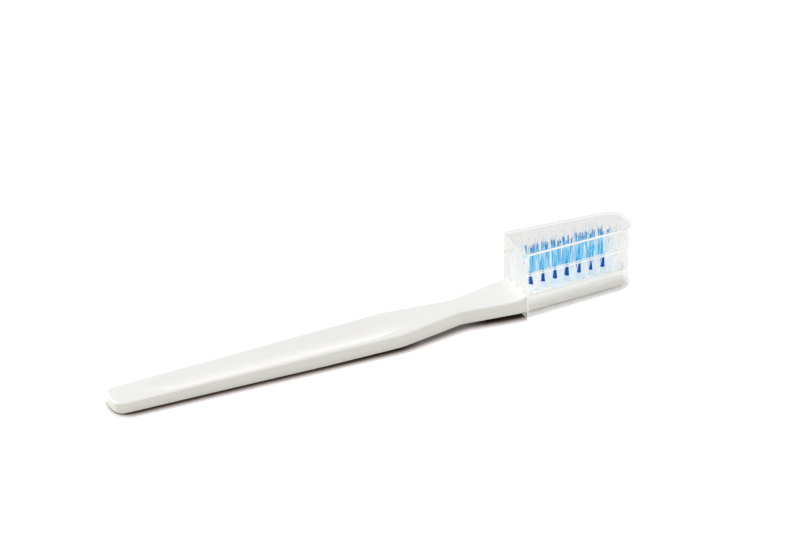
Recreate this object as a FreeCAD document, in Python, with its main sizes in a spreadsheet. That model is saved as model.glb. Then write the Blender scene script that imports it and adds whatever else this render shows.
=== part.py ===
"""A manual toothbrush with a clear cap over its head, lying on its back with the bristles up.

X runs from the tail of the handle to the tip of the head, Z is up, and the origin is under the middle of
the capped brush, on the surface that it lies on. Sizes are in millimetres.
"""
import FreeCAD, Part
import math
import os
import re

import Sketcher

# Sizes: name, value, what it is
SIZES = [
    ("grip_length", "80", "tail end to where the grip is widest"),
    ("shoulder_length", "18.5", "from there to where the neck is narrowest"),
    ("neck_length", "15.8", "from there to the rear of the head"),
    ("head_length", "33.9", "from there to the tip of the head"),
    ("tail_half_width", "4.62", "half the handle's width at the tail end"),
    ("tail_crown", "0.7", "how far the middle of the tail end stands out past its corners"),
    ("tail_crown_radius", "9", "rounding of the middle of the tail end, seen from above"),
    ("tail_corner_radius", "2.8", "rounding of its corners, seen from above"),
    ("slim_length", "38", "tail end to where the grip starts to widen"),
    ("slim_half_width", "5.42", "half the width there"),
    ("slim_radius", "200", "rounding of the sides there"),
    ("shoulder_half_width", "6.6", "half the width where the grip is widest"),
    ("shoulder_radius", "14", "rounding of the sides there"),
    ("waist_half_width", "3.62", "half the width of the waist, before it is rounded"),
    ("waist_radius", "7", "rounding of the waist"),
    ("head_side_margin", "1.8", "plastic outside the outer rows of tufts at the rear of the head"),
    ("tip_side_margin", "0.12", "how far the head's sides run outside those rows at its tip"),
    ("head_corner_radius", "8", "rounding between neck and head"),
    ("tip_flat", "0.38", "half the straight stretch across the tip"),
    ("tail_height", "2.98", "thickness of the handle at its tail end"),
    ("shoulder_height", "4.2", "top of the handle where it is widest"),
    ("shoulder_blend", "80", "rounding of the top there"),
    ("rest_length", "58", "length of the flat underside"),
    ("underside_run", "12", "how far past the shoulder the underside stays low"),
    ("underside_height", "0.6", "height of the underside there"),
    ("underside_blend", "90", "rounding of the underside at both its low bends"),
    ("head_blend", "40", "rounding between the neck's and the head's underside"),
    ("head_thickness", "4.8", "underside to top of the head"),
    ("neck_drop", "0.92", "how far the neck's top lies below the head's"),
    ("ramp_length", "2.4", "length of the slope from the neck up to the head"),
    ("ramp_radius", "2.5", "rounding at both ends of that slope"),
    ("top_edge_radius", "0.55", "rounding of the handle's upper edges"),
    ("bottom_edge_radius", "0.35", "rounding of its lower edges"),
    ("dish_radius", "20", "curvature across the hollow that runs along the grip's top"),
    ("dish_start", "15", "tail end to where the hollow reaches its depth"),
    ("dish_tail_depth", "0.34", "its depth there"),
    ("dish_shoulder_depth", "0.62", "its depth near the shoulder"),
    ("dish_tail_fade", "9", "length over which the hollow fades at the tail"),
    ("dish_shoulder_fade", "22", "length over which it fades at the shoulder"),
    ("dish_blend", "110", "rounding where the hollow starts to fade"),
    ("columns", "8", "number of columns of three tufts"),
    ("rear_margin", "3.15", "rear of the head to the first column"),
    ("tip_margin", "2.35", "tuft at the tip to the tip of the head"),
    ("row_pitch", "3.45", "distance from row to row"),
    ("tuft_radius", "0.9", "radius of a tuft hole"),
    ("tuft_hole_depth", "3", "depth of a tuft hole"),
    ("tuft_fit", "0.02", "play between a tuft and its hole"),
    ("tuft_tip_gap", "0.55", "least space between the tips of two tufts"),
    ("bristle_height", "11.4", "free height of the bristles over the head"),
    ("anchor_thickness", "0.25", "thickness of the flat anchor wire"),
    ("anchor_height", "1.3", "height of an anchor"),
    ("anchor_bite", "0.35", "how far an anchor reaches into the plastic at each end"),
    ("anchor_fold", "0.4", "thickness of the folded bristles under an anchor"),
    ("anchor_fit", "0.01", "play round an anchor"),
    ("cap_setback", "2.1", "rear of the head to the open end of the cap"),
    ("cap_wall", "0.75", "wall of the cap"),
    ("cap_side_gap", "0.3", "space between the head's sides and the cap"),
    ("cap_tip_gap", "1.05", "space between the head's tip and the cap"),
    ("cap_under_gap", "0.2", "space between the head's underside and the cap, at its front"),
    ("cap_top_gap", "1.2", "space between the bristles and the cap, at its rear"),
    ("cap_nose_flat", "0.39", "half the straight stretch across the cap's front"),
    ("cap_bottom_rise", "0.45", "how far the cap's underside rises to its front"),
    ("cap_top_fall", "0.4", "how far the cap's top falls to its front"),
    ("cap_edge_radius", "0.5", "rounding of the cap's long edges"),
    ("rib_drop", "6.35", "the cap's top down to the middle of the rib"),
    ("rib_height", "0.45", "height of the rib along the cap's sides"),
    ("rib_depth", "0.15", "how far the rib stands proud"),
    ("rib_setback", "0.3", "how far behind the cap's open edge the rib starts"),
    ("overrun", "5", "how far cutting shapes reach past what they cut"),
]

# What follows from them. Places are counted from the tail end, heights from the surface.
DERIVED = {
    "waist_place": "grip_length + shoulder_length",
    "head_place": "waist_place + neck_length",
    "brush_length": "head_place + head_length",
    "head_half_width": "row_pitch + tuft_radius + head_side_margin",
    "tip_half_width": "row_pitch + tuft_radius + tip_side_margin",
    "head_slope": "(head_half_width - tip_half_width) / head_length",
    "tip_radius": "(tip_half_width - tip_flat) / (sqrt(1 + head_slope ^ 2) - head_slope)",
    "head_bottom": "cap_wall + cap_bottom_rise + cap_under_gap",
    "head_top": "head_bottom + head_thickness",
    "neck_top": "head_top - neck_drop",
    "column_pitch": "(head_length - rear_margin - tip_margin) / columns",
    "first_column": "head_place + rear_margin",
    "tuft_tip_radius": "(min(row_pitch; column_pitch) - tuft_tip_gap) / 2",
    "anchor_reach": "tuft_radius + anchor_bite",
    "cap_rear": "head_place + cap_setback",
    "cap_front": "brush_length + cap_tip_gap + cap_wall",
    "cap_length": "cap_front - cap_rear",
    "cap_height": "head_top + bristle_height + cap_top_gap + cap_wall",
    "cap_widening": "cap_side_gap + cap_wall",
    "cap_front_half_width": "head_half_width - head_slope * (cap_front - head_place) + cap_widening",
    "cap_nose_radius": "(cap_front_half_width - cap_nose_flat) / (sqrt(1 + head_slope ^ 2) - head_slope)",
    "cap_top_slope": "cap_top_fall / cap_length",
    "cap_bottom_slope": "cap_bottom_rise / cap_length",
    "tail_end": "tail_crown_radius * (sqrt(1 + (tail_crown / tail_half_width) ^ 2) - 1)",
    "middle": "(tail_end + cap_front) / 2",
}

ROWS = {"right": -1, "middle": 0, "left": 1}

# A face is level where its normal rises by more than this share, and upright where by less than what is left
LEVEL_SHARE = 0.7

doc = FreeCAD.newDocument("toothbrush")
sheet = doc.addObject("Spreadsheet::Sheet", "Sizes")
for line, (alias, value, meaning) in enumerate(SIZES, 1):
    sheet.set(f"A{line}", meaning)
    sheet.set(f"B{line}", value)
    sheet.setAlias(f"B{line}", alias)
doc.recompute()


# Helpers

def full(text):
    """The expression text, written out in the sheet's own sizes."""
    def one_name(found):
        name = found.group()
        return f"({full(DERIVED[name])})" if name in DERIVED else "Sizes." + name
    return re.sub(r"\b[a-z][a-z_]+\b(?!\()", one_name, text)


def number(text):
    """What an expression of sizes comes to."""
    return float(sheet.evalExpression(full(text)))


def bind(thing, prop, text):
    """Ties a property of an object to an expression of sizes."""
    thing.setExpression(prop, full(text))


def head_half(place):
    """Half the head's width at a place along it."""
    return f"(head_half_width - head_slope * ({place} - head_place))"


def handle_top(place):
    """Height of the grip's top at a place between the tail and the shoulder."""
    return f"(tail_height + (shoulder_height - tail_height) * ({place}) / grip_length)"


def new_body(label):
    """A body that lies with the middle of the brush over the origin."""
    body = doc.addObject("PartDesign::Body", label)
    body.Label = label
    bind(body, "Placement.Base.x", "-middle")
    return body


def origin_feature(body, role):
    """One of the body's own origin planes or axes."""
    return [entry for entry in body.Origin.OriginFeatures if entry.Role == role][0]


def new_sketch(body, name, role, level="0"):
    """A sketch on one of the body's origin planes, moved along its normal by level."""
    sketch = body.newObject("Sketcher::SketchObject", name)
    sketch.AttachmentSupport = (origin_feature(body, role), [""])
    sketch.MapMode = "FlatFace"
    bind(sketch, "AttachmentOffset.Base.z", level)
    return sketch


def constrain(sketch, kind, places, text, name):
    """Adds a dimension to a sketch and ties it to an expression of sizes."""
    index = sketch.addConstraint(Sketcher.Constraint(kind, *places, number(text)))
    sketch.renameConstraint(index, name)
    bind(sketch, "Constraints." + name, text)


def fix_point(sketch, geometry, end, x, y, name):
    """Holds one point of a sketch at x, y from the sketch's origin."""
    constrain(sketch, "DistanceX", (-1, 1, geometry, end), x, name + "_x")
    constrain(sketch, "DistanceY", (-1, 1, geometry, end), y, name + "_y")


def corner_arc(before, corner, after, radius):
    """The arc that rounds a corner: its centre, first and last point, and whether it runs anticlockwise."""
    come = (corner - before).normalize()
    go = (after - corner).normalize()
    turn = math.atan2(come.x * go.y - come.y * go.x, come.dot(go))
    reach = radius * math.tan(abs(turn) / 2)
    side = FreeCAD.Vector(-come.y, come.x, 0) * math.copysign(radius, turn)
    first = corner - come * reach
    return first + side, first, corner + go * reach, turn > 0


def add_outline(sketch, name, corners):
    """Draws a closed outline through corners (x, y, radius), with a radius of None for a sharp corner."""
    points = [FreeCAD.Vector(number(x), number(y), 0) for x, y, radius in corners]
    count = len(corners)
    starts, ends, arcs = list(points), list(points), {}
    for i, (x, y, radius) in enumerate(corners):
        if radius is not None:
            arc = corner_arc(points[i - 1], points[i], points[(i + 1) % count], number(radius))
            arcs[i] = arc
            ends[i], starts[i] = arc[1], arc[2]
    lines = [sketch.addGeometry(Part.LineSegment(starts[i], ends[(i + 1) % count])) for i in range(count)]
    for i, (x, y, radius) in enumerate(corners):
        into, out = lines[i - 1], lines[i]
        label = f"{name}_{i}"
        if radius is None:
            sketch.addConstraint(Sketcher.Constraint("Coincident", into, 2, out, 1))
            fix_point(sketch, out, 1, x, y, label)
            continue
        centre, first, last, anticlockwise = arcs[i]
        low, high = (first, last) if anticlockwise else (last, first)
        angles = [math.atan2(point.y - centre.y, point.x - centre.x) for point in (low, high)]
        circle = Part.Circle(centre, FreeCAD.Vector(0, 0, 1), number(radius))
        arc = sketch.addGeometry(Part.ArcOfCircle(circle, *angles))
        corner = sketch.addGeometry(Part.Point(points[i]), True)
        first_end, last_end = (1, 2) if anticlockwise else (2, 1)
        fix_point(sketch, corner, 1, x, y, label)
        sketch.addConstraint(Sketcher.Constraint("Tangent", into, 2, arc, first_end))
        sketch.addConstraint(Sketcher.Constraint("Tangent", out, 1, arc, last_end))
        sketch.addConstraint(Sketcher.Constraint("PointOnObject", corner, 1, into))
        sketch.addConstraint(Sketcher.Constraint("PointOnObject", corner, 1, out))
        constrain(sketch, "Radius", (arc,), radius, label + "_r")


def add_circle(sketch, name, x, y, radius):
    """Draws a circle about x, y."""
    centre = FreeCAD.Vector(number(x), number(y), 0)
    circle = sketch.addGeometry(Part.Circle(centre, FreeCAD.Vector(0, 0, 1), number(radius)))
    fix_point(sketch, circle, 3, x, y, name)
    constrain(sketch, "Radius", (circle,), radius, name + "_r")


def add_rectangle(sketch, name, low, high):
    """Draws a rectangle from its low corner (x, y) to its high corner."""
    corners = [(low[0], low[1]), (high[0], low[1]), (high[0], high[1]), (low[0], high[1])]
    add_outline(sketch, name, [(x, y, None) for x, y in corners])


def mirrored(corners):
    """Corners above the X axis, followed by their mirror images below it."""
    return corners + [(x, f"-({y})", radius) for x, y, radius in reversed(corners)]


def add_feature(body, kind, name, sketch, length=None):
    """A pad or pocket from a sketch: of a given length, or right through both ways."""
    feature = body.newObject("PartDesign::" + kind, name)
    feature.Profile = sketch
    if length is None:
        feature.SideType = "Symmetric"
        feature.Type = "ThroughAll"
    else:
        bind(feature, "Length", length)
    doc.recompute()
    return feature


def round_edges(body, name, base, edges, radius):
    """Rounds the named edges of a feature."""
    fillet = body.newObject("PartDesign::Fillet", name)
    fillet.Base = (base, edges)
    bind(fillet, "Radius", radius)
    doc.recompute()
    return fillet


def upright(face, point):
    """How far a face looks up (1), sideways (0) or down (-1) at a point."""
    return face.normalAt(*face.Surface.parameter(point)).z


def rim_edges(shape, up):
    """The names of the edges where upright walls meet the top (up is 1) or the underside (up is -1)."""
    names = []
    for index, edge in enumerate(shape.Edges, 1):
        point = edge.valueAt((edge.FirstParameter + edge.LastParameter) / 2)
        looks = sorted(upright(face, point) * up for face in shape.ancestorsOfType(edge, Part.Face))
        if abs(looks[0]) < 1 - LEVEL_SHARE and looks[-1] > LEVEL_SHARE:
            names.append(f"Edge{index}")
    return names


def trim_to_side(body, corners, end_place, top):
    """Cuts away all of a body that lies outside its outline as seen from the side."""
    sketch = new_sketch(body, "side_sketch", "XZ_Plane")
    low, high = ("-overrun", "-overrun"), (f"{end_place} + overrun", f"{top} + 2 * overrun")
    add_rectangle(sketch, "waste", low, high)
    add_outline(sketch, "side", corners)
    return add_feature(body, "Pocket", "side", sketch)


# The handle, one moulding from tail to head

def handle_plan():
    """The handle seen from above."""
    return [("0", "0", "tail_crown_radius")] + mirrored([
        ("tail_crown", "tail_half_width", "tail_corner_radius"),
        ("slim_length", "slim_half_width", "slim_radius"),
        ("grip_length", "shoulder_half_width", "shoulder_radius"),
        ("waist_place", "waist_half_width", "waist_radius"),
        ("head_place", "head_half_width", "head_corner_radius"),
        ("brush_length", "tip_half_width", "tip_radius"),
    ])


def handle_side():
    """The handle seen from the side: flat on the surface under the grip, then rising to the head."""
    return [
        ("-overrun / 2", "0", None),
        ("rest_length", "0", "underside_blend"),
        ("grip_length + underside_run", "underside_height", "underside_blend"),
        ("head_place - ramp_length / 2", "head_bottom", "head_blend"),
        ("brush_length + overrun / 2", "head_bottom", None),
        ("brush_length + overrun / 2", "head_top", None),
        ("head_place + ramp_length", "head_top", "ramp_radius"),
        ("head_place", "neck_top", "ramp_radius"),
        ("grip_length", "shoulder_height", "shoulder_blend"),
        ("-overrun / 2", handle_top("-overrun / 2"), None),
    ]


def cut_dish(body):
    """Hollows the grip's top lengthwise with a slim spindle that turns about an axis high above it."""
    sketch = new_sketch(body, "dish_sketch", "XZ_Plane")
    start = "(dish_start - dish_tail_fade)"
    last = "(grip_length - dish_shoulder_fade / 4)"
    end = f"({last} + dish_shoulder_fade)"
    axis_start = f"{handle_top(start)} + dish_radius"
    axis_end = f"{handle_top(end)} + dish_radius"
    add_outline(sketch, "dish", [
        (start, axis_start, None),
        (start, f"{handle_top(start)} + dish_tail_depth", None),
        ("dish_start", f"{handle_top('dish_start')} - dish_tail_depth", "dish_blend"),
        (last, f"{handle_top(last)} - dish_shoulder_depth", "dish_blend"),
        (end, f"{handle_top(end)} + dish_shoulder_depth", None),
        (end, axis_end, None),
    ])
    axis = sketch.addGeometry(Part.LineSegment(
        FreeCAD.Vector(number(start), number(axis_start), 0),
        FreeCAD.Vector(number(end), number(axis_end), 0)), True)
    fix_point(sketch, axis, 1, start, axis_start, "axis_start")
    fix_point(sketch, axis, 2, end, axis_end, "axis_end")
    dish = body.newObject("PartDesign::Groove", "dish")
    dish.Profile = sketch
    dish.ReferenceAxis = (sketch, ["Axis0"])
    doc.recompute()
    return dish


def tuft_places():
    """Name, X and Y of each tuft: three rows of columns and one tuft alone at the tip."""
    places = []
    for row, side in ROWS.items():
        for column in range(int(number("columns"))):
            x = f"first_column + {column} * column_pitch"
            places.append((f"{row}_{column + 1}", x, f"{side} * row_pitch"))
    places.append(("tip", "brush_length - tip_margin", "0"))
    return places


def cut_holes(body, name, places):
    """Cuts blind tuft holes at the named places, each with the slot that its anchor is driven into."""
    holes = new_sketch(body, f"{name}_hole_sketch", "XY_Plane", "head_top")
    slots = new_sketch(body, f"{name}_slot_sketch", "XY_Plane",
                       "head_top - tuft_hole_depth + anchor_fold + anchor_height + anchor_fit")
    reach = "(anchor_reach + anchor_fit)"
    half = "(anchor_thickness / 2 + anchor_fit)"
    for label, x, y in places:
        add_circle(holes, "hole_" + label, x, y, "tuft_radius")
        add_rectangle(slots, "slot_" + label, (f"{x} - {reach}", f"{y} - {half}"),
                      (f"{x} + {reach}", f"{y} + {half}"))
    return [add_feature(body, "Pocket", f"{name}_holes", holes, "tuft_hole_depth"),
            add_feature(body, "Pocket", f"{name}_slots", slots, "anchor_height + 2 * anchor_fit")]


def make_handle():
    """The handle with its tuft holes and the slots that the anchors are driven into."""
    body = new_body("handle")
    plan = new_sketch(body, "plan_sketch", "XY_Plane", "-overrun / 2")
    add_outline(plan, "plan", handle_plan())
    add_feature(body, "Pad", "blank", plan, "head_top + overrun")
    trimmed = trim_to_side(body, handle_side(), "brush_length", "head_top")
    rims = rim_edges(trimmed.Shape, 1)
    topped = round_edges(body, "top_edges", trimmed, rims, "top_edge_radius")
    rims = rim_edges(topped.Shape, -1)
    round_edges(body, "bottom_edges", topped, rims, "bottom_edge_radius")
    cut_dish(body)
    places = tuft_places()
    column = cut_holes(body, "column", [place for place in places if place[0].endswith("_1")])
    pattern = body.newObject("PartDesign::LinearPattern", "columns")
    pattern.Originals = column
    pattern.Direction = (origin_feature(body, "X_Axis"), [""])
    bind(pattern, "Length", "(columns - 1) * column_pitch")
    bind(pattern, "Occurrences", "columns")
    body.Tip = pattern
    doc.recompute()
    cut_holes(body, "tip", places[-1:])
    return body


# Tufts and their anchors

def make_tuft(name, x, y):
    """A tuft: straight in its hole, flared above it, and folded round its anchor."""
    root = doc.addObject("Part::Cylinder", f"root_{name}")
    bind(root, "Radius", "tuft_radius - tuft_fit")
    bind(root, "Height", "tuft_hole_depth - tuft_fit")
    spray = doc.addObject("Part::Cone", f"spray_{name}")
    bind(spray, "Radius1", "tuft_radius - tuft_fit")
    bind(spray, "Radius2", "tuft_tip_radius")
    bind(spray, "Height", "bristle_height")
    bind(spray, "Placement.Base.z", "tuft_hole_depth - tuft_fit")
    bundle = doc.addObject("Part::Fuse", f"bundle_{name}")
    bundle.Base, bundle.Tool = root, spray
    gap = doc.addObject("Part::Box", f"gap_{name}")
    bind(gap, "Length", "2 * anchor_reach")
    bind(gap, "Width", "anchor_thickness + 2 * anchor_fit")
    bind(gap, "Height", "anchor_height + 2 * anchor_fit")
    bind(gap, "Placement.Base.x", "-anchor_reach")
    bind(gap, "Placement.Base.y", "-anchor_thickness / 2 - anchor_fit")
    bind(gap, "Placement.Base.z", "anchor_fold - tuft_fit - anchor_fit")
    tuft = doc.addObject("Part::Cut", f"tuft_{name}")
    tuft.Base, tuft.Tool = bundle, gap
    tuft.Label = f"tuft_{name}"
    bind(tuft, "Placement.Base.x", f"{x} - middle")
    bind(tuft, "Placement.Base.y", y)
    bind(tuft, "Placement.Base.z", "head_top - tuft_hole_depth + tuft_fit")
    return tuft


def make_anchor(name, x, y):
    """An anchor: a short piece of flat wire on edge across the hole."""
    anchor = doc.addObject("Part::Box", f"anchor_{name}")
    anchor.Label = f"anchor_{name}"
    bind(anchor, "Length", "2 * anchor_reach")
    bind(anchor, "Width", "anchor_thickness")
    bind(anchor, "Height", "anchor_height")
    bind(anchor, "Placement.Base.x", f"{x} - anchor_reach - middle")
    bind(anchor, "Placement.Base.y", f"{y} - anchor_thickness / 2")
    bind(anchor, "Placement.Base.z", "head_top - tuft_hole_depth + anchor_fold")
    return anchor


# The cap, a thin clear cover that is open at the rear

def cap_half(place):
    """Half the cap's outer width at a place along it."""
    return f"({head_half(place)} + cap_widening)"


def add_ribs(body):
    """One slim rib along each side of the cap, level with its top, up to where its nose starts to curve."""
    sketch = new_sketch(body, "rib_sketch", "XY_Plane", "cap_height - rib_drop - rib_height / 2")
    sketch.AttachmentOffset.Rotation.Axis = FreeCAD.Vector(0, 1, 0)
    bind(sketch, "AttachmentOffset.Base.x", "cap_rear")
    bind(sketch, "AttachmentOffset.Rotation.Angle", "atan(cap_top_slope)")
    rear, front = cap_half("cap_rear + rib_setback"), cap_half("cap_front - cap_nose_radius")
    rib_end = "cap_length - cap_nose_radius"
    for name, side in (("right", "-1"), ("left", "1")):
        add_outline(sketch, name, [
            ("rib_setback", f"{side} * ({rear} - cap_wall / 2)", None),
            (rib_end, f"{side} * ({front} - cap_wall / 2)", None),
            (rib_end, f"{side} * ({front} + rib_depth)", None),
            ("rib_setback", f"{side} * ({rear} + rib_depth)", None),
        ])
    add_feature(body, "Pad", "ribs", sketch, "rib_height")


def make_cap():
    """The cap: tapered to a round nose, hollow, with a rib on each side."""
    body = new_body("cap")
    plan = new_sketch(body, "plan_sketch", "XY_Plane", "-overrun / 2")
    add_outline(plan, "plan", mirrored([
        ("cap_rear", cap_half("cap_rear"), None),
        ("cap_front", "cap_front_half_width", "cap_nose_radius"),
    ]))
    add_feature(body, "Pad", "blank", plan, "cap_height + overrun")
    past = "overrun / 2"
    rear, front = f"cap_rear - {past}", f"cap_front + {past}"
    trimmed = trim_to_side(body, [
        (rear, f"-cap_bottom_slope * {past}", None),
        (front, f"cap_bottom_slope * (cap_length + {past})", None),
        (front, f"cap_height - cap_top_slope * (cap_length + {past})", None),
        (rear, f"cap_height + cap_top_slope * {past}", None),
    ], "cap_front", "cap_height")
    shell = body.newObject("PartDesign::Thickness", "shell")
    shell.Base = (trimmed, [f"Face{index}" for index, face in enumerate(trimmed.Shape.Faces, 1)
                            if at_rear(face)])
    shell.Reversed = True
    bind(shell, "Value", "cap_wall")
    doc.recompute()
    edges = [name for name in rim_edges(shell.Shape, 1) + rim_edges(shell.Shape, -1)
             if is_outside(shell.Shape.getElement(name)) and not at_rear(shell.Shape.getElement(name))]
    round_edges(body, "long_edges", shell, edges, "cap_edge_radius")
    add_ribs(body)
    return body


def at_rear(element):
    """Whether an edge or face lies wholly in the plane of the cap's open end."""
    box = element.BoundBox
    return max(abs(box.XMin - number("cap_rear")), box.XLength) < number("cap_edge_radius / 2")


def is_outside(edge):
    """Whether an edge of the cap lies on its outer top or underside."""
    box = edge.BoundBox
    inset = number("cap_wall / 2")
    low = number("cap_bottom_rise") + inset
    high = number("cap_height - cap_top_fall") - inset
    return box.ZMin > high or box.ZMax < low


# The whole brush

def check(parts):
    """Stops before anything is written if an object failed or a shape is bad."""
    for thing in doc.Objects:
        if {"Invalid", "Error"} & set(thing.State):
            raise RuntimeError(f"{thing.Name} failed: {thing.State}")
    for part in parts:
        shape = part.Shape
        if shape.isNull() or not shape.isValid() or len(shape.Solids) != 1:
            raise RuntimeError(f"{part.Label} is not one sound solid")


parts = [make_handle(), make_cap()]
for name, x, y in tuft_places():
    parts.append(make_tuft(name, x, y))
    parts.append(make_anchor(name, x, y))
doc.recompute()
check(parts)
os.makedirs("parts", exist_ok=True)
for part in parts:
    part.Shape.exportStep(f"parts/{part.Label}.step")
print(len(parts), "pieces written")
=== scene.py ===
"""The looks of a manual toothbrush: a white moulded handle, nylon tufts and a clear cap over the head.

Everything is in metres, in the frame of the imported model: X runs to the tip of the head and Z is up.
"""

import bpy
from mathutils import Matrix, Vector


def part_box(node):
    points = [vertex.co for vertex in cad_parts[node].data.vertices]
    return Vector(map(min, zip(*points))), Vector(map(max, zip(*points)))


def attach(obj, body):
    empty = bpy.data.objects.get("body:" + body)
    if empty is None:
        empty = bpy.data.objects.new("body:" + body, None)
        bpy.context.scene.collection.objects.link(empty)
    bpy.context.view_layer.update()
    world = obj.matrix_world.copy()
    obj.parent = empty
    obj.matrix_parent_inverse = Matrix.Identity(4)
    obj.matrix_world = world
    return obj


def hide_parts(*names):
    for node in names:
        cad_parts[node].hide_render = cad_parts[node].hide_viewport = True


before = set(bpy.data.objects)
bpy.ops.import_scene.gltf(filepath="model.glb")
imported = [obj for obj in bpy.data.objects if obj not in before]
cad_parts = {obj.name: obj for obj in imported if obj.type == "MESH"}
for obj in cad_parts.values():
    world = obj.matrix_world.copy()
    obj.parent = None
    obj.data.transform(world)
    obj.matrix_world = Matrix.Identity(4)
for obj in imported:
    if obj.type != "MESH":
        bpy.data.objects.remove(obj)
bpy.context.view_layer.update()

import math
import random

import bpy
from mathutils import Matrix, Vector

MM = 0.001
SEED = 7


def rgb(red, green, blue):
    """An opaque colour."""
    return red, green, blue, 1.0


WHITE = rgb(1, 1, 1)

# Camera: a long lens that looks down over the handle's near side
CAMERA_PLACE = Vector((-375.22, -813.84, 550.74)) * MM
CAMERA_DOWN_DEG = 30.502
CAMERA_TURN_DEG = -25.181
CAMERA_ROLL_DEG = -0.172
CAMERA_REACH = (0.05, 20)
LENS_MM = 180
SENSOR_MM = 36

# Lamps: a soft key from behind and the tail's side, a low one straight behind, one above the front and a fill
# from the tip's side. Each has a direction, a size and a power.
LAMP_DISTANCE = 1.0
LAMPS = {
    "key": (Vector((-0.5, 0.52, 0.69)), 0.9, 7.75),
    "low": (Vector((0.41, 0.88, 0.2)), 0.5, 0.4),
    "front": (Vector((0.36, -0.5, 0.75)), 0.6, 2.0),
    "fill": (Vector((0.66, -0.7, 0.27)), 0.8, 0.45),
}

# Room: brighter near its horizon and overhead than between. A stop is a direction's rise and the strength
# there.
ROOM_STOPS = [(0.24, 0.75), (0.45, 0.25), (0.7, 0.25), (0.88, 0.55)]

# How many clear surfaces a ray may pass
CLEAR_LAYERS = 40

# Table: pure white, with a warm dark shade where the brush is close. The plain share of what is seen is white
# by itself and the rest is lit. The bounce is the colour of the light that the table sends on to the brush. A
# stop of the shade is how open a place is, within the reach and about the lean, and the level there. The shade
# is weaker under the neck, beside the cap and where it is seen through the cap.
TABLE_HALF = 3.0
TABLE_DROP = 0.02 * MM
TABLE_GAIN = 2.2
TABLE_BOUNCE = rgb(0.79, 0.775, 0.67)
PLAIN_SHARE = 0.8
SHADE_REACH = 3.6 * MM
SHADE_LEAN = (-0.3, 0.4, 0.87)
SHADE_SAMPLES = 16
SHADE_STOPS = [(0.37, 0.012), (0.5, 0.09), (0.57, 0.22), (0.64, 0.44), (0.73, 0.59), (0.81, 0.76),
               (0.89, 0.92), (0.955, 0.97), (0.995, 1)]
SHADE_WARMTH = (1, 0.9, 0.865)
SHADE_THROUGH_CAP = 0.3
SHADE_BESIDE_CAP = 0.07
SHADE_AT_NECK = 0.9
NECK_MIDDLE = 18 * MM
NECK_REACHES = (7 * MM, 13 * MM)

# Handle and anchors: a surface's tone lies between its two colours
HANDLE_COLOURS = (rgb(0.868, 0.864, 0.842), rgb(0.878, 0.876, 0.856))
HANDLE_ROUGHNESS = (0.2, 0.24)
HANDLE_IOR = 1.49
BRASS_COLOURS = (rgb(0.72, 0.53, 0.22), rgb(0.84, 0.66, 0.33))
WIRE_ROUGHNESS = (0.25, 0.4)

# Nylon: a filament's colour lies between two. A rise is a pair of heights over the head between which the
# colour turns, and a clear share is how much of the material lets light through. Light that passes a filament
# takes the first of two shades on what is near, and the second on what is further off.
PALE_NYLON = (rgb(0.86, 0.86, 0.86), rgb(0.91, 0.91, 0.91))
TINTED_NYLON = (rgb(0.05, 0.56, 0.78), rgb(0.88, 0.96, 0.97))
# The blue is deeper at the head, painted shade over the nylon's own blue, and has its lit colour higher up
SHADED_BLUE_NYLON = (rgb(0.003, 0.14, 0.5), rgb(0.012, 0.27, 0.74))
LIT_BLUE_NYLON = (rgb(0.02, 0.58, 0.8), rgb(0.34, 0.91, 0.97))
PALE_SHADES = (rgb(0.996, 0.996, 0.996), rgb(0.996, 0.996, 0.996))
BLUE_SHADES = (rgb(0.79, 0.95, 0.998), rgb(0.93, 0.982, 0.998))
SHADE_DISTANCES = (3 * MM, 5 * MM)
PALE_CLEAR_SHARE = 0.6
BLUE_CLEAR_SHARE = 0.5
NYLON_ROUGHNESS = (0.25, 0.4)
NYLON_IOR = 1.53
BLUE_RISE = (2.2 * MM, 4.4 * MM)
TINTED_RISE = (4.8 * MM, 6.4 * MM)
TIP_RISE = (9.4 * MM, 10.4 * MM)
TIP_SHARE = 0.5
TINTED_TUFTS = {f"tuft_right_{column}" for column in range(2, 8)}
BLUE_TUFTS = {f"tuft_middle_{column}" for column in range(2, 9)}

# Filaments: they stand in rows each side of the anchor, and their tips gather in clumps. A fan is how much
# wider the clumps stand than the roots, along and across the head.
FILAMENT_RADIUS = 0.092 * MM
FILAMENT_SIDES = 6
FILAMENT_PITCH = 0.2 * MM
FIRST_ROW = 0.225 * MM
ROW_STEP = 0.185 * MM
ROOT_RADIUS = 0.79 * MM
ROOT_LIFT = 0.05 * MM
FANS = {"middle": (2.3, 1.6), "right": (3.0, 1.9), "left": (3.2, 1.9), "tip": (1.8, 1.8)}
SPARSE_SHARES = {"middle": 1, "right": 1.25, "left": 1.25, "tip": 1.25}
CLUMPS = 7
CLUMP_WIDTH_SHARE = 0.75
LEAN_SPREAD = 0.12 * MM
STRAY_SHARE = 0.12
STRAY_LEAN = 2.2 * MM
STRAY_LEAST = 0.3
TIP_SPREAD = 0.2 * MM
RING_SHARES = [0, 0.21, 0.32, 0.43, 0.54, 0.65, 0.76, 0.88, 0.985, 1]
RING_WIDTH_SHARES = [1, 1, 1, 0.97, 0.93, 0.87, 0.8, 0.72, 0.6, 0.3]
BEND_POWER = 1.15
TUFT_HEIGHT = 11.4 * MM
WALL_CLEARANCE = 0.2 * MM

# The cap's shape, as it is in the model
CAP_WALL = 0.75 * MM
CAP_TAPER = 0.0496
CAP_FALL = 0.0113
RIB_DEPTH = 0.15 * MM
RIB_DROP = 6.35 * MM
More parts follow.
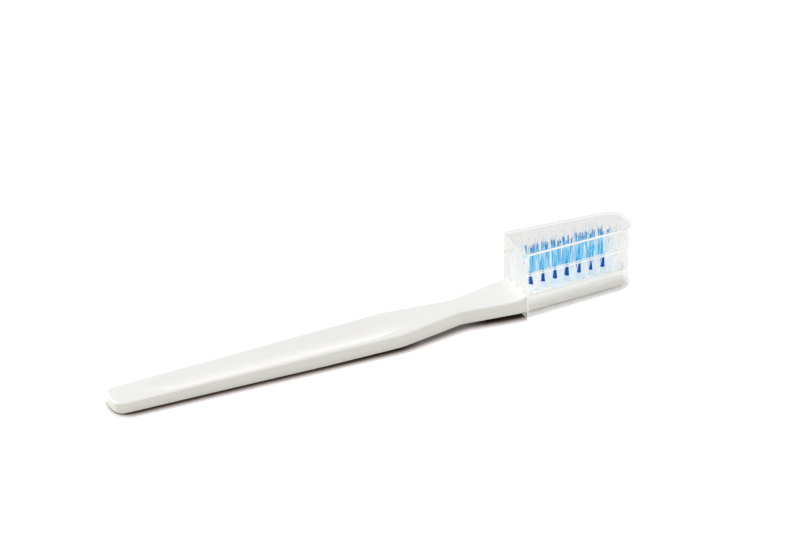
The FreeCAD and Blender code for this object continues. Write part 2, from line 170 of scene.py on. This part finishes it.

# The cap's painted light, as shares of its painted edge colour: painted highlights where its walls turn over,
# at its open end and on its ribs, and painted pale bands low on its near wall. Of a turned edge and a rib the
# first share is on the near side and the second on the far side. Of the rim the first is off the near wall and
# the second on it. The painted band up the near wall goes from its first share at its lower end to its second
# at the head's top. A tilt is how far up or down a surface faces.
TURN_SHARES = (0.95, 0.25)
TURN_TILTS = (0.04, 0.2)
FLAT_TILTS = (0.94, 0.995)
NEAR_WALL_SHARE = 0.8
RIM_SHARES = (0.08, 0.5)
RIM_DEPTH = 0.15 * MM
NEAR_RIM_DEPTH = 0.38 * MM
RIB_SHARES = (0.85, 0.2)
RIB_HALF = 0.2 * MM
NOSE_SHARE = 0.35
NOSE_START = 8 * MM
NOSE_END = 3 * MM
FOOT_SHARE = 0.45
FOOT_HEIGHT = 1.7 * MM
FOOT_BLEND = 0.5 * MM
LIT_BAND_SHARES = (0.05, 0.5)
LIT_BAND_START = 3.5 * MM
LIT_BAND_RISE = 0.5 * MM
ROOF_TILT = 0.94
ROOF_HAZE = 0.03

# The cap's plastic
CAP_TINTS = (rgb(0.978, 0.98, 0.978), rgb(0.986, 0.988, 0.988))
# The far wall's tints are darker: painted shade
FAR_WALL_SHADE_TINTS = (rgb(0.941, 0.941, 0.938), rgb(0.951, 0.951, 0.949))
# The painted edge colour: a painted highlight on the near side, a painted grey shade on the far side
EDGE_HIGHLIGHT_AND_SHADE = (rgb(0.97, 0.972, 0.968), rgb(0.62, 0.62, 0.62))
CAP_ROUGHNESS = (0.05, 0.1)
CAP_IOR = 1.46
GRAZING_POWER = 4
GRAZING_SHARE = 0.4
GLINT_SHARE = 0.65
GLINT_ROUGHNESS = 0.4


# Materials

class Shader:
    """The nodes of a material or of the world, built by short calls."""

    def __init__(self, owner, output):
        self.owner = owner
        owner.use_nodes = True
        self.tree = owner.node_tree
        self.tree.nodes.clear()
        self.output = self.node(output)

    def plug(self, socket, value):
        """Sets a node's input to a value, or links it to another node's output."""
        if isinstance(value, bpy.types.NodeSocket):
            self.tree.links.new(value, socket)
        else:
            socket.default_value = value

    def node(self, kind, inputs=None, **settings):
        """A new node with its settings and inputs."""
        made = self.tree.nodes.new(kind)
        for key, value in settings.items():
            setattr(made, key, value)
        for key, value in (inputs or {}).items():
            self.plug(made.inputs[key], value)
        return made

    def surface(self, shown):
        """Shows a shader on the material or the world, and gives that back."""
        self.plug(self.output.inputs["Surface"], shown)
        return self.owner

    def axes(self, kind):
        """The parts along X, Y and Z of a point, a normal or a direction."""
        whole = self.node("ShaderNodeTexCoord").outputs[kind]
        return self.node("ShaderNodeSeparateXYZ", {0: whole}).outputs

    def noise(self, scale, detail=2.0, roughness=0.5):
        """Noise in the object's own metres."""
        place = self.node("ShaderNodeTexCoord").outputs["Object"]
        made = self.node("ShaderNodeTexNoise", {"Vector": place, "Scale": scale, "Detail": detail,
                                                "Roughness": roughness})
        return made.outputs["Fac"]

    def spread(self, value, low, high, start=0.3, end=0.7):
        """A value from low to high as another goes from start to end. These are set for noise if left out."""
        made = self.node("ShaderNodeMapRange", {"Value": value, "From Min": start, "From Max": end,
                                                "To Min": low, "To Max": high})
        return made.outputs["Result"]

    def between(self, share, first, second):
        """A value between two values."""
        return self.spread(share, first, second, 0, 1)

    def blend(self, share, first, second):
        """A colour between two colours."""
        made = self.node("ShaderNodeMix", data_type="RGBA")
        for socket, value in ((made.inputs[0], share), (made.inputs[6], first), (made.inputs[7], second)):
            self.plug(socket, value)
        return made.outputs[2]

    def mixed(self, share, first, second):
        """A shader between two shaders."""
        return self.node("ShaderNodeMixShader", {0: share, 1: first, 2: second}).outputs[0]

    def scaled(self, colour, share):
        """A colour times a number."""
        return self.node("ShaderNodeVectorMath", {0: colour, "Scale": share}, operation="SCALE").outputs[0]

    def math(self, operation, *values):
        """What an operation makes of one, two or three values."""
        return self.node("ShaderNodeMath", dict(enumerate(values)), operation=operation).outputs[0]

    def fold(self, operation, *values):
        """What an operation makes of two values, then of that and the next value, and so on."""
        result = values[0]
        for value in values[1:]:
            result = self.math(operation, result, value)
        return result

    def ramp(self, value, stops):
        """A colour that goes through stops as a value rises. Each is a place and its red, green and blue."""
        made = self.node("ShaderNodeValToRGB", {0: value})
        steps = made.color_ramp.elements
        steps.remove(steps[1])
        for place, colour in stops:
            steps.new(place).color = rgb(*colour)
        steps.remove(steps[0])
        return made.outputs[0]

    def bump(self, height, strength, distance, under=None):
        """A normal that follows a height, over another normal if one is given."""
        made = self.node("ShaderNodeBump", {"Height": height, "Strength": strength, "Distance": distance})
        if under is not None:
            self.plug(made.inputs["Normal"], under)
        return made.outputs["Normal"]


def new_material(name):
    """The empty nodes of a new material."""
    return Shader(bpy.data.materials.new(name), "ShaderNodeOutputMaterial")


def handle_plastic():
    """White moulded plastic: satin gloss, with a faint long unevenness and a fine skin."""
    shader = new_material("handle_plastic")
    tone = shader.spread(shader.noise(60, detail=1.0), 0, 1)
    waves = shader.bump(shader.noise(50, detail=0.0), strength=0.1, distance=0.2 * MM)
    skin = shader.bump(shader.noise(1400, detail=2.0), strength=0.04, distance=0.02 * MM, under=waves)
    plastic = shader.node("ShaderNodeBsdfPrincipled", {
        "Base Color": shader.blend(tone, *HANDLE_COLOURS),
        "Roughness": shader.spread(shader.noise(90, detail=1.0), *HANDLE_ROUGHNESS),
        "IOR": HANDLE_IOR, "Normal": skin})
    return shader.surface(plastic.outputs[0])


def nylon(name, low, high, rise, clear_share, shades):
    """Fine nylon filaments with their low colours at the head and their high ones further up. They turn from
    one to the other between two heights over the head, and part of the way back at their tips. Each filament
    lies somewhere between its two colours."""
    shader = new_material(name)
    strand = shader.node("ShaderNodeNewGeometry").outputs["Random Per Island"]
    height = shader.axes("Object")["Z"]
    turned = shader.spread(height, 0, 1, head_top + rise[0], head_top + rise[1])
    at_tip = shader.spread(height, 1, TIP_SHARE, head_top + TIP_RISE[0], head_top + TIP_RISE[1])
    share = shader.math("MINIMUM", turned, at_tip)
    colour = shader.blend(share, shader.blend(strand, *low), shader.blend(strand, *high))
    solid = shader.node("ShaderNodeBsdfPrincipled", {
        "Base Color": colour, "Roughness": shader.spread(shader.noise(3000), *NYLON_ROUGHNESS),
        "IOR": NYLON_IOR}).outputs[0]
    through = shader.node("ShaderNodeBsdfTranslucent", {"Color": colour}).outputs[0]
    path = shader.node("ShaderNodeLightPath").outputs
    distance = shader.spread(path["Ray Length"], 0, 1, *SHADE_DISTANCES)
    passing = shader.node("ShaderNodeBsdfTransparent", {"Color": shader.blend(distance, *shades)}).outputs[0]
    body = shader.mixed(clear_share, solid, through)
    return shader.surface(shader.mixed(path["Is Shadow Ray"], body, passing))


def brass():
    """Drawn brass wire."""
    shader = new_material("anchor_wire")
    tone = shader.spread(shader.noise(2500, detail=3.0), 0, 1)
    metal = shader.node("ShaderNodeBsdfPrincipled", {
        "Base Color": shader.blend(tone, *BRASS_COLOURS), "Metallic": 1.0,
        "Roughness": shader.spread(shader.noise(4000), *WIRE_ROUGHNESS)})
    return shader.surface(metal.outputs[0])


def cap_painted_light(shader, place, tilt, far):
    """How much painted light the cap gets: painted highlights where its walls turn over, at its open end and
    on its ribs, painted pale bands along its near foot and up to the top of the head, and a little haze
    on its roof."""
    near_wall = shader.spread(place["Y"], 1, 0, cap_low.y / 2, 0)
    on_wall = shader.math("LESS_THAN", place["Y"], NEAR_WALL_SHARE * cap_low.y)
    nose = shader.spread(place["X"], 1, NOSE_SHARE, cap_high.x - NOSE_START, cap_high.x - NOSE_END)

    # Painted highlights where the walls turn over, at the open end and on the ribs
    edge = shader.math("MINIMUM", shader.spread(tilt, 0, 1, *TURN_TILTS),
                       shader.spread(tilt, 1, 0, *FLAT_TILTS))
    turned = shader.fold("MULTIPLY", nose, shader.between(far, *TURN_SHARES), edge)

    rim_end = shader.between(on_wall, cap_low.x + RIM_DEPTH, cap_low.x + NEAR_RIM_DEPTH)
    open_end = shader.math("LESS_THAN", place["X"], rim_end)
    rim = shader.math("MULTIPLY", open_end, shader.between(on_wall, *RIM_SHARES))

    along = shader.math("MULTIPLY_ADD", place["X"], CAP_FALL, place["Z"])
    off_rib = shader.math("SUBTRACT", along, cap_high.z - RIB_DROP + CAP_FALL * cap_low.x)
    on_rib = shader.math("LESS_THAN", shader.math("ABSOLUTE", off_rib), RIB_HALF)
    rib = shader.fold("MULTIPLY", nose, shader.between(far, *RIB_SHARES), on_rib)

    # Painted light: pale bands along the near foot and up the near wall to the head's top
    foot = shader.spread(place["Z"], FOOT_SHARE, 0, FOOT_HEIGHT - FOOT_BLEND, FOOT_HEIGHT)
    lit_band_end = head_top + LIT_BAND_RISE
    lit_band = shader.math("MINIMUM", shader.spread(place["Z"], *LIT_BAND_SHARES, LIT_BAND_START, head_top),
                       shader.spread(place["Z"], LIT_BAND_SHARES[1], 0, lit_band_end, lit_band_end + LIT_BAND_RISE))
    low = shader.math("MULTIPLY", shader.math("MAXIMUM", foot, lit_band), near_wall)

    roof = shader.fold("MULTIPLY", shader.math("GREATER_THAN", tilt, ROOF_TILT),
                       shader.math("GREATER_THAN", place["Z"], cap_high.z / 2), ROOF_HAZE)
    return shader.fold("MAXIMUM", turned, rim, rib, roof, low)


def clear_plastic():
    """Thin clear plastic with painted highlights on its edges, and glossier where it is seen at a low angle.
    Its far wall is a little darker and its far edges greyer: painted shade."""
    shader = new_material("cap_plastic")
    place = shader.axes("Object")
    tilt = shader.math("ABSOLUTE", shader.axes("Normal")["Z"])
    far = shader.spread(place["Y"], 0, 1, -cap_high.y / 3, cap_high.y / 3)
    patch = shader.spread(shader.noise(200), 0, 1)
    # Painted shade: the far wall's clear tint is darker
    far_wall = shader.math("MULTIPLY", far, shader.math("LESS_THAN", tilt, 1 - ROOF_TILT))
    tint_and_far_shade = shader.blend(far_wall, shader.blend(patch, *CAP_TINTS), shader.blend(patch, *FAR_WALL_SHADE_TINTS))
    clear = shader.node("ShaderNodeBsdfTransparent", {"Color": tint_and_far_shade}).outputs[0]
    shine = shader.node("ShaderNodeBsdfAnisotropic", {
        "Color": WHITE, "Roughness": shader.spread(shader.noise(350, detail=3.0), *CAP_ROUGHNESS),
        "Normal": shader.bump(shader.noise(260, detail=1.0), strength=0.1, distance=0.1 * MM)}).outputs[0]
    facing = shader.node("ShaderNodeLayerWeight", {"Blend": 0.5}).outputs["Facing"]
    grazing = shader.math("MULTIPLY", shader.math("POWER", facing, GRAZING_POWER), GRAZING_SHARE)
    wall = shader.mixed(grazing, clear, shine)
    # Painted highlight colour of the edges, greyer on the far side as painted shade
    white = shader.blend(far, *EDGE_HIGHLIGHT_AND_SHADE)
    matt = shader.node("ShaderNodeBsdfPrincipled", {
        "Base Color": white, "Roughness": GLINT_ROUGHNESS, "IOR": CAP_IOR}).outputs[0]
    glint = shader.node("ShaderNodeBsdfAnisotropic", {
        "Color": white, "Roughness": GLINT_ROUGHNESS}).outputs[0]
    edge = shader.mixed(GLINT_SHARE, matt, glint)
    return shader.surface(shader.mixed(cap_painted_light(shader, place, tilt, far), wall, edge))


def table_white():
    """A white table that shows pure white where nothing shades it, and a warm dark line where something
    stands close."""
    shader = new_material("table_white")
    lean = shader.node("ShaderNodeCombineXYZ", dict(zip("XYZ", SHADE_LEAN))).outputs[0]
    near = shader.node("ShaderNodeAmbientOcclusion", {"Distance": SHADE_REACH, "Normal": lean},
                       samples=SHADE_SAMPLES, only_local=False)
    full = shader.ramp(near.outputs["AO"], [(openness, [level ** (1 / warmth) for warmth in SHADE_WARMTH])
                                            for openness, level in SHADE_STOPS])
    path = shader.node("ShaderNodeLightPath").outputs
    through = shader.math("GREATER_THAN", path["Transparent Depth"], 0.5)
    along = shader.axes("Object")["X"]
    off_neck = shader.math("ABSOLUTE", shader.math("SUBTRACT", along, NECK_MIDDLE))
    under_handle = shader.spread(off_neck, SHADE_AT_NECK, 1, *NECK_REACHES)
    beside = shader.math("GREATER_THAN", along, cap_low.x)
    outside = shader.between(beside, under_handle, SHADE_BESIDE_CAP)
    strength = shader.between(through, outside, SHADE_THROUGH_CAP)
    shade = shader.blend(strength, WHITE, full)
    matt = shader.node("ShaderNodeBsdfDiffuse", {"Color": shader.scaled(shade, TABLE_GAIN)}).outputs[0]
    plain = shader.node("ShaderNodeEmission", {"Color": shade, "Strength": 1.0}).outputs[0]
    seen = shader.mixed(shader.between(through, PLAIN_SHARE, 1), matt, plain)
    bounce = shader.node("ShaderNodeBsdfDiffuse", {"Color": TABLE_BOUNCE}).outputs[0]
    straight = shader.math("MAXIMUM", path["Is Camera Ray"], path["Is Glossy Ray"])
    return shader.surface(shader.mixed(straight, bounce, seen))


def room():
    """A white room. What it sends onto the brush is bright near the horizon, dim above that and brighter
    overhead."""
    shader = Shader(bpy.data.worlds.new("room"), "ShaderNodeOutputWorld")
    stops = [(rise, (strength,) * 3) for rise, strength in ROOM_STOPS]
    level = shader.ramp(shader.axes("Generated")["Z"], stops)
    lit = shader.node("ShaderNodeBackground", {"Color": level}).outputs[0]
    white = shader.node("ShaderNodeBackground", {"Color": WHITE}).outputs[0]
    seen = shader.node("ShaderNodeLightPath").outputs["Is Camera Ray"]
    return shader.surface(shader.mixed(seen, lit, white))


# Pieces

def add_object(name, data):
    """A new object in the scene."""
    made = bpy.data.objects.new(name, data)
    bpy.context.scene.collection.objects.link(made)
    return made


def add_mesh(name, points, faces, material):
    """A new mesh of one material in the scene."""
    mesh = bpy.data.meshes.new(name)
    mesh.from_pydata(points, [], faces)
    piece = add_object(name, mesh)
    set_material(piece, material)
    return piece


def set_material(piece, material):
    """Gives a piece one material."""
    piece.data.materials.clear()
    piece.data.materials.append(material)


def root_places(sparse):
    """Where filaments stand in a hole: two stacks of rows, one each side of the anchor, the wider apart the
    more sparse they are."""
    places = []
    y = FIRST_ROW
    while y < ROOT_RADIUS:
        reach = math.sqrt(ROOT_RADIUS ** 2 - y ** 2)
        count = int(2 * reach / (FILAMENT_PITCH * sparse)) + 1
        for i in range(count):
            x = (i - (count - 1) / 2) * FILAMENT_PITCH * sparse
            places += [(x, y), (-x, -y)]
        y += ROW_STEP * sparse
    return places


def add_filament(points, faces, root, lean, top):
    """One filament: a thin tube that stands straight in its hole, bends along its lean and ends rounded."""
    base = len(points)
    for share, width in zip(RING_SHARES, RING_WIDTH_SHARES):
        z = root.z + (top - root.z) * share
        free = max(0, (z - head_top) / (top - head_top))
        centre = Vector((root.x + lean.x * free ** BEND_POWER, root.y + lean.y * free ** BEND_POWER, z))
        for side in range(FILAMENT_SIDES):
            angle = 2 * math.pi * side / FILAMENT_SIDES
            offset = Vector((math.cos(angle), math.sin(angle), 0)) * FILAMENT_RADIUS * width
            points.append(centre + offset)
    rings = len(RING_SHARES)
    for ring in range(rings - 1):
        for side in range(FILAMENT_SIDES):
            low = base + ring * FILAMENT_SIDES + side
            low_next = base + ring * FILAMENT_SIDES + (side + 1) % FILAMENT_SIDES
            faces.append((low, low_next, low_next + FILAMENT_SIDES, low + FILAMENT_SIDES))
    last = base + (rings - 1) * FILAMENT_SIDES
    faces.append(tuple(base + side for side in reversed(range(FILAMENT_SIDES))))
    faces.append(tuple(last + side for side in range(FILAMENT_SIDES)))


def side_limit(x):
    """How far from the middle a filament may reach inside the cap at a place along it."""
    return cap_high.y - RIB_DEPTH - CAP_TAPER * (x - cap_low.x) - CAP_WALL - WALL_CLEARANCE


def make_tuft(node, material):
    """A tuft of separate filaments in place of its plain solid."""
    dice = random.Random(f"{SEED} {node}")
    low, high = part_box(node)
    middle = (low + high) / 2
    limit = side_limit(middle.x)
    row = node.split("_")[1]
    fan_along, fan_across = FANS[row]
    places = root_places(SPARSE_SHARES[row])
    clumps = [Vector((x * fan_along, y * fan_across)) for x, y in dice.sample(places, CLUMPS)]
    points, faces = [], []
    for x, y in places:
        root = Vector((middle.x + x, middle.y + y, low.z + ROOT_LIFT))
        goal = Vector((x * fan_along, y * fan_across))
        lean = min(clumps, key=lambda clump: (clump - goal).length) - Vector((x, y)) * CLUMP_WIDTH_SHARE
        lean += Vector((dice.gauss(0, LEAN_SPREAD), dice.gauss(0, LEAN_SPREAD)))
        if dice.random() < STRAY_SHARE:
            angle = dice.uniform(0, 2 * math.pi)
            direction = Vector((math.cos(angle), math.sin(angle)))
            lean += direction * dice.uniform(STRAY_LEAST, 1) * STRAY_LEAN
        lean.y = max(-limit - root.y, min(limit - root.y, lean.y))
        top = high.z - lean.length ** 2 / (2 * TUFT_HEIGHT) - abs(dice.gauss(0, TIP_SPREAD))
        add_filament(points, faces, root, lean, top)
    piece = add_mesh(node + "_filaments", points, faces, material)
    piece.data.shade_smooth()
    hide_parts(node)
    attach(piece, "brush")


def make_cap():
    """The cap's own shell, in clear plastic. It casts no shadow, and scattered light passes it unchanged."""
    shell = add_object("cap_shell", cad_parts["cap"].data.copy())
    set_material(shell, clear_plastic())
    shell.visible_shadow = False
    shell.visible_diffuse = False
    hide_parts("cap")
    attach(shell, "cap")


# The stage

def make_table():
    """A wide white table."""
    corners = [(-1, -1), (1, -1), (1, 1), (-1, 1)]
    points = [(x * TABLE_HALF, y * TABLE_HALF, -TABLE_DROP) for x, y in corners]
    add_mesh("table", points, [(0, 1, 2, 3)], table_white())


def add_lamp(name, direction, size, power):
    """A soft round lamp that points at the brush."""
    data = bpy.data.lights.new(name, "AREA")
    data.shape = "DISK"
    data.size = size
    data.energy = power
    lamp = add_object(name, data)
    lamp.location = direction.normalized() * LAMP_DISTANCE
    lamp.rotation_euler = (-direction).to_track_quat("-Z", "Y").to_euler()


def add_camera():
    """The photograph's camera."""
    data = bpy.data.cameras.new("camera")
    data.lens = LENS_MM
    data.sensor_width = SENSOR_MM
    data.clip_start, data.clip_end = CAMERA_REACH
    camera = add_object("camera", data)
    camera.location = CAMERA_PLACE
    turn = Matrix.Rotation(math.radians(CAMERA_TURN_DEG), 3, "Z")
    tilt = Matrix.Rotation(math.radians(90 - CAMERA_DOWN_DEG), 3, "X")
    roll = Matrix.Rotation(math.radians(CAMERA_ROLL_DEG), 3, "Z")
    camera.rotation_euler = (turn @ tilt @ roll).to_euler()
    bpy.context.scene.camera = camera


# The brush

add_camera()
cap_low, cap_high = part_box("cap")
head_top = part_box("handle")[1].z
white_nylon = nylon("white_nylon", PALE_NYLON, PALE_NYLON, BLUE_RISE, PALE_CLEAR_SHARE, PALE_SHADES)
tinted_nylon = nylon("tinted_nylon", PALE_NYLON, TINTED_NYLON, TINTED_RISE, PALE_CLEAR_SHARE, PALE_SHADES)
blue_nylon = nylon("blue_nylon", SHADED_BLUE_NYLON, LIT_BLUE_NYLON, BLUE_RISE, BLUE_CLEAR_SHARE,
                   BLUE_SHADES)
wire = brass()
for name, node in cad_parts.items():
    if name in BLUE_TUFTS:
        make_tuft(name, blue_nylon)
    elif name.startswith("tuft_"):
        make_tuft(name, tinted_nylon if name in TINTED_TUFTS else white_nylon)
    elif name.startswith("anchor_"):
        set_material(node, wire)
set_material(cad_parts["handle"], handle_plastic())
make_cap()

make_table()
bpy.context.scene.world = room()
for name, (direction, size, power) in LAMPS.items():
    add_lamp(name, direction, size, power)
bpy.context.scene.cycles.transparent_max_bounces = CLEAR_LAYERS
bpy.context.scene.view_settings.view_transform = "Standard"
